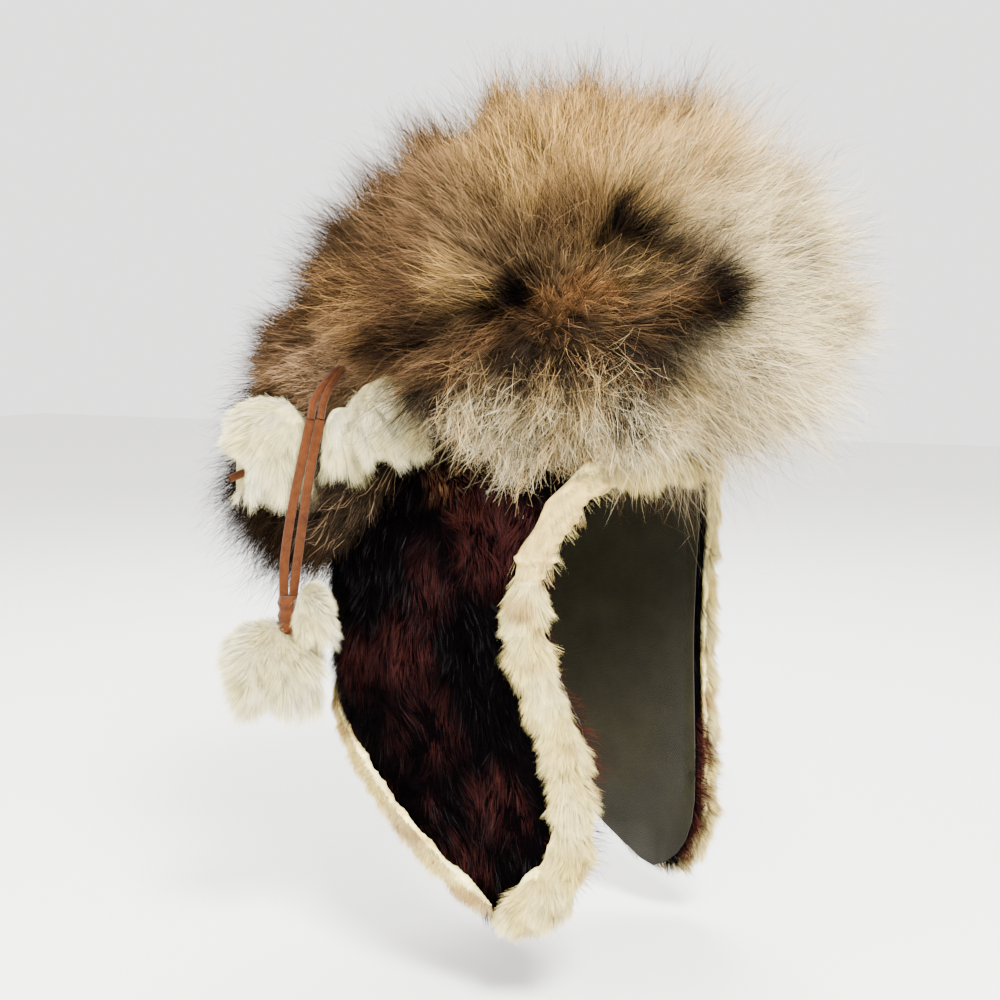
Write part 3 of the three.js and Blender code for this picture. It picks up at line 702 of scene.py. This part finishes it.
def gather(at, tips, cell, pull, rng):
    """Draws strand tips toward the tip of the nearest chosen strand, as locks of hair do."""
    spread = at.max(axis=0) - at.min(axis=0)
    area = 2 * (spread[0] * spread[1] + spread[1] * spread[2] + spread[2] * spread[0])
    count = min(len(at), max(8, int(area / (cell * cell))))
    chosen = rng.choice(len(at), size=count, replace=False)
    tree = kdtree.KDTree(count)
    for i, k in enumerate(chosen):
        tree.insert(at[k], i)
    tree.balance()
    nearest = np.array([tree.find(place)[1] for place in at])
    leader = chosen[nearest]
    amount = (pull * (0.5 + 0.7 * rng.random(len(at))))[:, None]
    return tips + (tips[leader] - tips) * np.clip(amount, 0, 0.95), leader


def room_share(at, reach):
    """Share of each strand that stays within the room that soft hair has round the solids."""
    low, high = (np.array(corner) / MM for corner in CAD_BOX)
    margin = (high - low) * BOX_SHARE + BOX_REACH
    limit = np.where(reach > 0, high + margin - at, low - margin - at)
    share = limit / np.where(np.abs(reach) < 1e-6, 1e-6, reach)
    return np.clip(np.where(np.abs(reach) < 1e-6, 1, share).min(axis=-1), 0.2, 1)


def grow_hair(name, at, normal, along, scale, coat, paint, seed):
    """Joined mesh of tapered strands. paint gives each strand's colour at a step of its length."""
    rng = np.random.default_rng(seed)
    count = len(at)
    (coarse, coarse_share), (fine, fine_share) = RUFFLES
    ruffle = drift(at, coarse, seed) * coarse_share + drift(at, fine, seed + 2) * fine_share
    along = unit(along + ruffle + rng.normal(size=at.shape) * coat.stray)
    length = coat.length * scale * (SHORTEST + LENGTH_SPREAD * rng.random((count, 1)))
    tips = at + along * length
    for cell, share in zip(coat.locks, (0.6, 1.0)):
        tips, leader = gather(at, tips, cell, coat.pull * share, rng)
    curl = unit(rng.normal(size=at.shape) * 0.8 + drift(at, 14, seed + 1) * 1.5)
    roll = rng.normal(size=(count, 1)) * ROLL
    flat = unit(np.cross(along, normal))
    side = flat * np.cos(roll) + np.cross(along, flat) * np.sin(roll)
    luck = rng.random((count, 3))
    with_lock = rng.random(count) < LOCK_LOYALTY
    luck[with_lock, 0] = luck[leader[with_lock], 0]
    phase = (luck[leader, 1:2] + 0.25 * luck[:, 1:2]) * 2 * math.pi
    reaches = []
    for t in coat.steps:
        reach = (tips - at) * t + along * length * BOW * t * (1 - t)
        reach = reach + curl * length * coat.wave * t * np.sin(CURL_HALF_TURNS * math.pi * t + phase)
        reach[:, 2:] -= length * coat.droop * t * t
        reaches.append(reach)
    kept = np.min([room_share(at, reach) for reach in reaches], axis=0)[:, None]
    rows, colours = [], []
    for t, reach in zip(coat.steps, reaches):
        centre = at + reach * kept
        width = coat.width * (1 - TAPER * t) / 2
        rows += [centre] if t == 1 else [centre - side * width, centre + side * width]
        colours += [paint(centre, t, luck)] * (1 if t == 1 else 2)
    points = np.stack(rows, axis=1) * MM
    per = points.shape[1]
    start = (np.arange(count) * per)[:, None]
    bands = len(coat.steps) - 2
    quads = [start + 2 * k + np.array([0, 1, 3, 2]) for k in range(bands)]
    loops = np.concatenate([*quads, start + 2 * bands + np.array([0, 1, 2])], axis=1)
    sizes = np.tile([4] * bands + [3], count)
    mesh = bpy.data.meshes.new(name)
    mesh.vertices.add(count * per)
    mesh.vertices.foreach_set("co", points.ravel())
    mesh.loops.add(loops.size)
    mesh.loops.foreach_set("vertex_index", loops.ravel().astype(np.int32))
    mesh.polygons.add(len(sizes))
    starts = np.concatenate([[0], np.cumsum(sizes)[:-1]])
    mesh.polygons.foreach_set("loop_start", starts.astype(np.int32))
    mesh.update(calc_edges=True)
    set_colours(mesh, np.stack(colours, axis=1))
    piece = bpy.data.objects.new(name, mesh)
    bpy.context.collection.objects.link(piece)
    return piece


def set_colours(mesh, colours):
    colours = np.clip(colours, 0, 1)
    colours = np.concatenate([colours, np.ones((*colours.shape[:-1], 1))], axis=-1)
    layer = mesh.color_attributes.new("hair_colour", "FLOAT_COLOR", "POINT")
    layer.data.foreach_set("color", colours.ravel())


def paint_skin(piece, paint, step):
    """Gives a skin the colour that its hair has near the root, with the painted shade laid there."""
    places, _ = skin_arrays(piece.data)
    luck = np.random.default_rng(SEEDS["skin"]).random((len(places), 3))
    set_colours(piece.data, paint(places, step, luck))


def fading(away, radius):
    """1 well inside a patch, falling to 0 outside it."""
    return np.clip((1.3 - away / radius) / 0.6, 0, 1)


def near(place, patch):
    return fading(np.linalg.norm(place - np.array(patch.at), axis=1, keepdims=True), patch.radius)


def in_line(place, patch):
    """As near, for a patch that runs out from the pelt's middle."""
    middle = np.array(FOX_MIDDLE)
    reach = np.array(patch.at) - middle
    apart = unit(place - middle) - unit(reach)
    return fading(np.linalg.norm(apart, axis=1, keepdims=True) * np.linalg.norm(reach), patch.radius)


def patched(place, tone, patches, inside, luck):
    """Lays patches over a tone, each strand taking the patch's first or second colour."""
    for patch in patches:
        weight = inside(place, patch) * patch.strength
        colour = np.where(luck < patch.share, linear(patch.other), linear(patch.colour))
        tone = tone * (1 - weight) + colour * weight
    return tone


def either_side(at):
    """Places of the right side, moved to their twins on the left."""
    return np.concatenate([np.abs(at[:, :1]), at[:, 1:]], axis=1)


# Colours of the coats
def varied(tone, luck, amount):
    return tone * (1 + amount * (2 * luck[:, 1:2] - 1))


def rooted(tone, share, step):
    """Darker toward the root, where little light comes."""
    return tone * (share + (1 - share) * min(1, step / ROOT_SHADE))


def paint_fox(dark_share, root_share):
    def paint(place, step, luck):
        streak = np.clip(drift(place, 38, 5)[:, :1] * 0.5 + 0.5, 0, 1)
        tone = linear("tan") * (1 - streak) + linear("amber") * streak
        tone = patched(either_side(place) + drift(place, 26, 9) * 6, tone, FOX_PATCHES, in_line,
                       luck[:, :1])
        tone = varied(tone, luck, 0.35)
        pale = np.clip((-place[:, 1:2] - 90) / 60, 0, 0.6)
        # A share of strands turn near black: black hair, and in the undercoat and long hair also painted shade deep in
        # the coat.
        tone = np.where(luck[:, 2:3] < dark_share * (1 - pale), tone * 0.12, tone)
        return rooted(tone, root_share, step)
    return paint


def paint_wisp(place, step, luck):
    high = np.clip((place[:, 2:3] + 12) / 40, 0, 0.7) + drift(place, 16, 15)[:, :1] * 0.3
    tone = np.where(luck[:, :1] < high, linear("tan"), linear("straw"))
    tone = np.where(luck[:, 2:3] < 0.55 - high, linear("cream"), tone)
    warm = np.clip(drift(place, 24, 17)[:, :1] * 1.4, 0, 0.6)
    tone = tone * (1 - warm) + linear("gold") * warm
    return rooted(varied(tone, luck, 0.4), 0.03, step * 0.6)


def paint_mink(place, step, luck):
    patch = np.clip(drift(place, 60, 21)[:, :1] * 0.6 - 0.45, 0, 0.25)
    tone = linear("mink") * (1 - patch) + linear("oxblood") * patch
    tone = patched(either_side(place) + drift(place, 20, 23) * 4, tone, MINK_PATCHES, near, luck[:, :1])
    # Painted highlights: a few strands take pale tips, more of them where this drift is high.
    painted_shine = np.clip(drift(place, 45, 24)[:, :1], 0, 1)
    painted_glint = (luck[:, 2:3] < 0.02 + 0.07 * painted_shine) & (step > 0.5)
    return rooted(np.where(painted_glint, linear("painted_glint"), varied(tone, luck, 0.7)), 0.4, step)


def paint_depth(place, step, luck):
    """The dark hide under the cap fur."""
    return np.tile(linear("mink"), (len(place), 1))


def paint_rim(place, step, luck):
    patch = np.clip(drift(place, 18, 25)[:, :1] * 0.7 + 0.5, 0, 1)
    tone = linear("oxblood") * (1 - patch) + linear("rust") * patch
    return rooted(varied(tone, luck, 0.3), 0.4, step)


def paint_pale(dark, light, spot):
    def paint(place, step, luck):
        mixed = np.clip(drift(place, 22, 31)[:, :1] * 0.5 + 0.4, 0, 1)
        tone = linear(dark) * mixed + linear(light) * (1 - mixed)
        spots = np.clip(drift(place, 15, 33)[:, :1] * 1.5 - 0.3, 0, 0.85)
        tone = varied(tone * (1 - spots) + linear(spot) * spots, luck, 0.15)
        return rooted(tone * (1 - 0.25 * luck[:, :1] ** 2), 0.35, step)
    return paint


# Thongs
def thong_path(side):
    across = Vector(THONG_SPREAD) * side * THONG_PITCH / 2
    return [(Vector(place) + across * apart) * MM for place, apart in zip(THONG_ROUTE, THONG_PARTING)]


def smooth_path(points, steps):
    """Points along a rounded line through the given ones."""
    ends = [points[0] * 2 - points[1], *points, points[-1] * 2 - points[-2]]
    line = []
    for a, b, c, d in zip(ends, ends[1:], ends[2:], ends[3:]):
        for k in range(steps):
            t = k / steps
            bend, twist = 2 * a - 5 * b + 4 * c - d, 3 * b - a - 3 * c + d
            line.append(0.5 * (2 * b + (c - a) * t + bend * t * t + twist * t ** 3))
    return [*line, points[-1].copy()]


def make_thong(name, end, material):
    """One lace of the pair, with its middle line and its length in metres."""
    line = smooth_path(thong_path(THONG_SIDES[end]), 5)
    data = bpy.data.curves.new(name, "CURVE")
    data.dimensions = "3D"
    data.bevel_depth = THONG_THICKNESS / 2 * MM
    data.extrude = (THONG_WIDTH - THONG_THICKNESS) / 2 * MM
    data.bevel_resolution = 3
    data.use_fill_caps = True
    spline = data.splines.new("POLY")
    spline.points.add(len(line) - 1)
    for spot, place in zip(spline.points, line):
        spot.co = (*place, 1)
    piece = bpy.data.objects.new(name, data)
    bpy.context.collection.objects.link(piece)
    dress(piece, material, "suede", (f"thong_strand_{end}",))
    length = sum((b - a).length for a, b in zip(line, line[1:]))
    return piece, line, length


# Where hair grows
def outside(middle, facing):
    """The outer side of the cap and its trims."""
    return (middle * np.array(OUTER_SIDE["weights"]) * facing).sum(axis=1) > OUTER_SIDE["reach"]


def on_rim(middle, facing):
    """The cap's cut edge round the face, lower down on the left flap."""
    low = middle[:, 2] < np.where(middle[:, 0] < 0, RIM["right_top"], RIM["left_top"])
    return (facing[:, 1] < -0.5) & (np.abs(middle[:, 0]) > RIM["side"]) & low


def everywhere(middle, facing):
    return np.ones(len(middle), dtype=bool)


def fox_spread(at):
    """Direction straight out of the pelt's two masses, without the lumps of its locks."""
    total = np.zeros_like(at)
    for core in FOX_CORES:
        away = at - np.array(core)
        total += away / np.linalg.norm(away, axis=1, keepdims=True) ** 4
    return unit(total)


def fox_outside(middle, facing):
    return (fox_spread(middle) * facing).sum(axis=1) > 0.15


def fringe_zone(middle, facing):
    """Back of the pelt and its low front edge, where the outline is ragged."""
    back = (middle[:, 1] > FRINGE["back"]) & (middle[:, 2] > FRINGE["low"])
    brow = (middle[:, 1] < FRINGE["brow"]) & (middle[:, 2] < FRINGE["brow_top"])
    return fox_outside(middle, facing) & (back | brow)


def wisp_zone(middle, facing):
    """Lower side of the pelt, where pale curled ends hang over the cap."""
    side = (np.abs(middle[:, 0]) > WISPS["side"]) & (middle[:, 2] < WISPS["top"])
    along = (middle[:, 1] > WISPS["front"]) & (middle[:, 1] < WISPS["back"])
    return fox_outside(middle, facing) & side & along


def bare_hide(at):
    """Where the face trim has lost its hair."""
    (front, back), (low, high) = BARE["y"], BARE["z"]
    inside = (at[:, 1] > front) & (at[:, 1] < back) & (at[:, 2] > low) & (at[:, 2] < high)
    return inside & (at[:, 0] < 0)


def scaled(at, zones):
    """Length of the hair at each place, against its full length."""
    scale = np.ones((len(at), 1))
    for zone in zones:
        weight = near(either_side(at), zone)
        scale = scale * (1 - weight) + zone.scale * weight
    return scale


# Cap and lining
def line_cap():
    lining = merged_copy("lining", "lining_cloth")
    lining.data.shade_smooth()
    dress(lining, cloth_material(), "lining_cloth", ("lining",))


def cover_cap():
    """Close glossy fur on the crown and side panels, and loose fur at their cut edge."""
    skin = skin_material("mink_underfur", 120, 0.6, 0.7)
    look = hair_material("mink_hair", 0.45, 0.01)
    for number, node in enumerate(("crown", "side_panel_right", "side_panel_left")):
        cap = merged_copy(node, f"{node}_hide")
        cap.data.shade_smooth()
        paint_skin(cap, paint_depth, 0)
        dress(cap, skin, "dark_fur", (node,))
        rng = np.random.default_rng(SEEDS["cap"] + number)
        at, normal = skin_points(cap, COATS["mink"].strands // 3, rng, outside)
        flow = unit(np.array([0, -0.38, -1.0]) + drift(at, 42, 41) * 0.4)
        flow = unit(flow - normal * (flow * normal).sum(axis=1, keepdims=True))
        waves = 1 + 0.35 * drift(at, 16, 42)[:, :1]
        hair = grow_hair(f"{node}_fur", at, normal, flow + normal * 0.3, waves, COATS["mink"],
                         paint_mink, SEEDS["cap_hair"] + number)
        dress(hair, look, "dark_fur")
        at, normal = skin_points(cap, COATS["rim"].strands // 3, rng, on_rim)
        tufted = np.clip(0.8 + 0.6 * drift(at, 14, 43)[:, :1], 0.35, 1.1)
        tufted = tufted * np.clip((RIM["thin_top"] - at[:, 2:3]) / RIM["thin_reach"], 0.25, 1)
        forward = unit(np.array([0, -1.0, -0.5]) + normal * 0.3)
        hair = grow_hair(f"{node}_rim_fur", at, normal, forward, tufted, COATS["rim"], paint_rim,
                         SEEDS["rim_hair"] + number)
        dress(hair, look, "dark_fur")


# Fox pelt
def fox_direction(at, out, lift):
    """Hair sweeps out from a whorl on each side, and hangs from the rear drape."""
    side = np.tanh(at[:, :1] / FOX_PARTING)
    whorl = np.concatenate([side * FOX_WHORL[0], np.tile(FOX_WHORL[1:], (len(at), 1))], axis=1)
    away = at - whorl
    radial = away / np.maximum(np.linalg.norm(away, axis=1, keepdims=True), FOX_WHORL_CORE)
    behind = np.clip((at[:, 1:2] - DRAPE["front"]) / DRAPE["along"], 0, 1)
    drape = behind * np.clip((DRAPE["top"] - at[:, 2:3]) / DRAPE["down"], 0, 1)
    return unit(radial * (1 - 0.6 * drape) + out * lift + drape * np.array([0, 0.7, -1.0]))


def cover_pelt():
    """Undercoat, long hair, guard hair and fringe all over the pelt, and wisps on its lower side."""
    look = hair_material("fox_hair", 0.7, 0.0)
    pelt = soft_form("fox_pelt", "fox_hide", 6, 14)
    # The hide takes the painted shade at its hair's roots, dark between the hairs.
    paint_skin(pelt, paint_fox(0, 0.1), 0.15)
    dress(pelt, skin_material("fox_underfur", 90, 0.9, 0.8), "fox_fur", ("fox_pelt",))
    for number, (name, zone, lengths, lift, dark_share, root_share) in enumerate((
        ("fox_under", fox_outside, FOX_LENGTHS, 0.8, 0.12, 0.2),
        ("fox_long", fox_outside, FOX_LENGTHS, 0.6, 0.15, 0.12),
        ("fox_guard", fox_outside, GUARD_LENGTHS, 0.9, 0.65, 0.5),
        ("fox_fringe", fringe_zone, GUARD_LENGTHS, 1.2, 0.7, 0.4),
    )):
        rng = np.random.default_rng(SEEDS["fox"] + number)
        at, normal = skin_points(pelt, COATS[name].strands, rng, zone)
        out = unit(fox_spread(at) + normal * FOX_LUMP_SHARE)
        hair = grow_hair(f"{name}_hair", at, out, fox_direction(at, out, lift), scaled(at, lengths),
                         COATS[name], paint_fox(dark_share, root_share), SEEDS["fox_hair"] + number)
        dress(hair, look, "fox_fur")

    rng = np.random.default_rng(SEEDS["wisp"])
    at, normal = skin_points(pelt, COATS["fox_wisp"].strands, rng, wisp_zone)
    kept = rng.random(len(at)) < np.clip((WISPS["thin_top"] - at[:, 2]) / WISPS["thin_reach"], 0.2, 1)
    at, normal = at[kept], normal[kept]
    out = unit(fox_spread(at) + normal * FOX_LUMP_SHARE)
    flow = fox_direction(at, out, 0.7) + np.array([0, 0, -0.35]) + drift(at, 12, 16) * 0.5
    hair = grow_hair("fox_wisp_hair", at, out, flow, scaled(at, FOX_LENGTHS), COATS["fox_wisp"],
                     paint_wisp, SEEDS["wisp_hair"])
    dress(hair, look, "fox_fur")


# Cream trims
def paint_cream(place, step, luck):
    return paint_pale("butter", "ivory", "fawn")(place, step, luck)


def paint_band(place, step, luck):
    """The trims' hide: cream underfur, and yellowed bare leather."""
    tone = paint_cream(place, step, luck)
    stained = linear("rawhide") * (1 + 0.25 * drift(place, 8, 55)[:, :1])
    return np.where(bare_hide(place)[:, None], stained, tone)


def ease_trim(piece):
    """Crinkles the bare hide's inner edge and raises the fold pinched across it."""
    mesh = piece.data
    places, normals = skin_arrays(mesh)
    inside = bare_hide(places)
    edge = np.clip(-normals[:, 1:2], 0, 1) * np.sin(places[:, 2:3] * 1.35 + drift(places, 9, 51)[:, :1])
    below = places[:, 2:3] - PINCH["z"] + drift(places, 20, 52)[:, :1]
    fold = np.exp(-((below / PINCH["width"]) ** 2))
    rise = (edge * 0.9 + fold * PINCH["height"]) * inside[:, None]
    mesh.vertices.foreach_set("co", ((places + normals * rise) * MM).ravel())
    mesh.update()


def cover_trims(skin, look):
    """Tufty cream fur, but for the bare stretch at the right temple."""
    for number, (node, paint) in enumerate((
        ("face_trim", paint_cream),
        ("nape_trim", paint_pale("straw", "butter", "fawn")),
    )):
        band = soft_form(node, f"{node}_hide", 2.0, 3)
        if node == "face_trim":
            ease_trim(band)
        paint_skin(band, paint_band, 0.7)
        dress(band, skin, "cream_fur", (node,))
        rng = np.random.default_rng(SEEDS["trim"] + number)
        at, normal = skin_points(band, COATS[node].strands, rng, outside)
        haired = ~bare_hide(at) | (rng.random(len(at)) < 0.04)
        at, normal = at[haired], normal[haired]
        flow = normal * 0.8 + np.array([0, 0, -0.85])
        locks = 1 + 0.3 * drift(at, 12, 53)[:, :1]
        hair = grow_hair(f"{node}_fur", at, normal, flow, locks, COATS[node], paint,
                         SEEDS["trim_hair"] + number)
        dress(hair, look, "cream_fur")


# White tufts
def off_the_tip(at):
    """How far each point lies from the line on which the thong tip shows in the upper back tuft."""
    low, high = (np.array(corner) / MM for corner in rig.box("thong_tip"))
    away = at - (low + high) / 2 - np.array(TIP_DENT["shift"])
    outward = np.array(TIP_DENT["outward"])
    return np.linalg.norm(away - (away @ outward)[:, None] * outward, axis=1, keepdims=True)


def part_round_tip(piece):
    """Presses the tuft's skin in where the thong tip comes out."""
    places, normals = skin_arrays(piece.data)
    outer = np.clip(-normals[:, :1] * 3, 0, 1)
    dent = outer * TIP_DENT["depth"] * np.exp(-((off_the_tip(places) / TIP_DENT["width"]) ** 2))
    places = places - normals * dent
    piece.data.vertices.foreach_set("co", (places * MM).ravel())
    piece.data.update()


def cover_tufts(skin, look):
    """White fur on each tuft. Gives back the pieces of the tufts that hang from the thongs."""
    hung = []
    white = paint_pale("ivory", "white", "ivory")
    for number, (node, tie) in enumerate(TUFTS.items()):
        head = soft_form(node, f"{node}_hide", 2.3, 4)
        if node == "tuft_upper_back":
            part_round_tip(head)
        # The hide takes the painted shade at its hair's roots, so the gaps between locks show as darker creases.
        paint_skin(head, white, 0.2)
        dress(head, skin, "white_fur", (node,))
        rng = np.random.default_rng(SEEDS["tuft"] + number)
        count = COATS["tuft"].strands // (2 if "small" in node else 1)
        at, normal = skin_points(head, count, rng, everywhere)
        flow = unit(at - np.array(tie)) + normal * 0.9 + np.array([0, 0, -0.4])
        below = np.clip((tie[2] - at[:, 2:3]) / 30, 0, 1)
        locks = (0.65 + 0.55 * below) * (1 + 0.25 * drift(at, 12, 54)[:, :1])
        locks = locks * np.clip((off_the_tip(at) - TIP_DENT["bare"]) / TIP_DENT["clearing"], 0.06, 1)
        hair = grow_hair(f"{node}_fur", at, normal, flow, locks, COATS["tuft"], white,
                         SEEDS["tuft_hair"] + number)
        dress(hair, look, "white_fur")
        if "lower" in node:
            hung += [head, hair]
    return hung


make_camera()
make_studio()
make_floor()

suede = suede_material()
for node in ("thong_root", "thong_knot", "thong_tip"):
    frame["nodes"][node].data.materials.clear()
    frame["nodes"][node].data.materials.append(suede)
laces = [make_thong(f"thong_lace_{end}", end, suede) for end in THONG_SIDES]

line_cap()
cover_cap()
cover_pelt()

cream_skin = skin_material("cream_underfur", 70, 0.8, 0.7)
cream_hair = hair_material("cream_hair", 0.6, 0.15)
cover_trims(cream_skin, cream_hair)
hung = [frame["nodes"]["thong_knot"], *cover_tufts(cream_skin, cream_hair)]

for (lace, line, length), carried in zip(laces, (hung, [])):
    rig.cord(
        lace, exit=line[0], length=length, diameter=THONG_WIDTH * MM, far_end="knot", stiffness="limp",
        lay="hanging", with_pieces=carried,
    )

with open("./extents.json", "w") as file:
    json.dump({"cad": CAD_BOX, "visual": [list(corner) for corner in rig.bounds()]}, file)
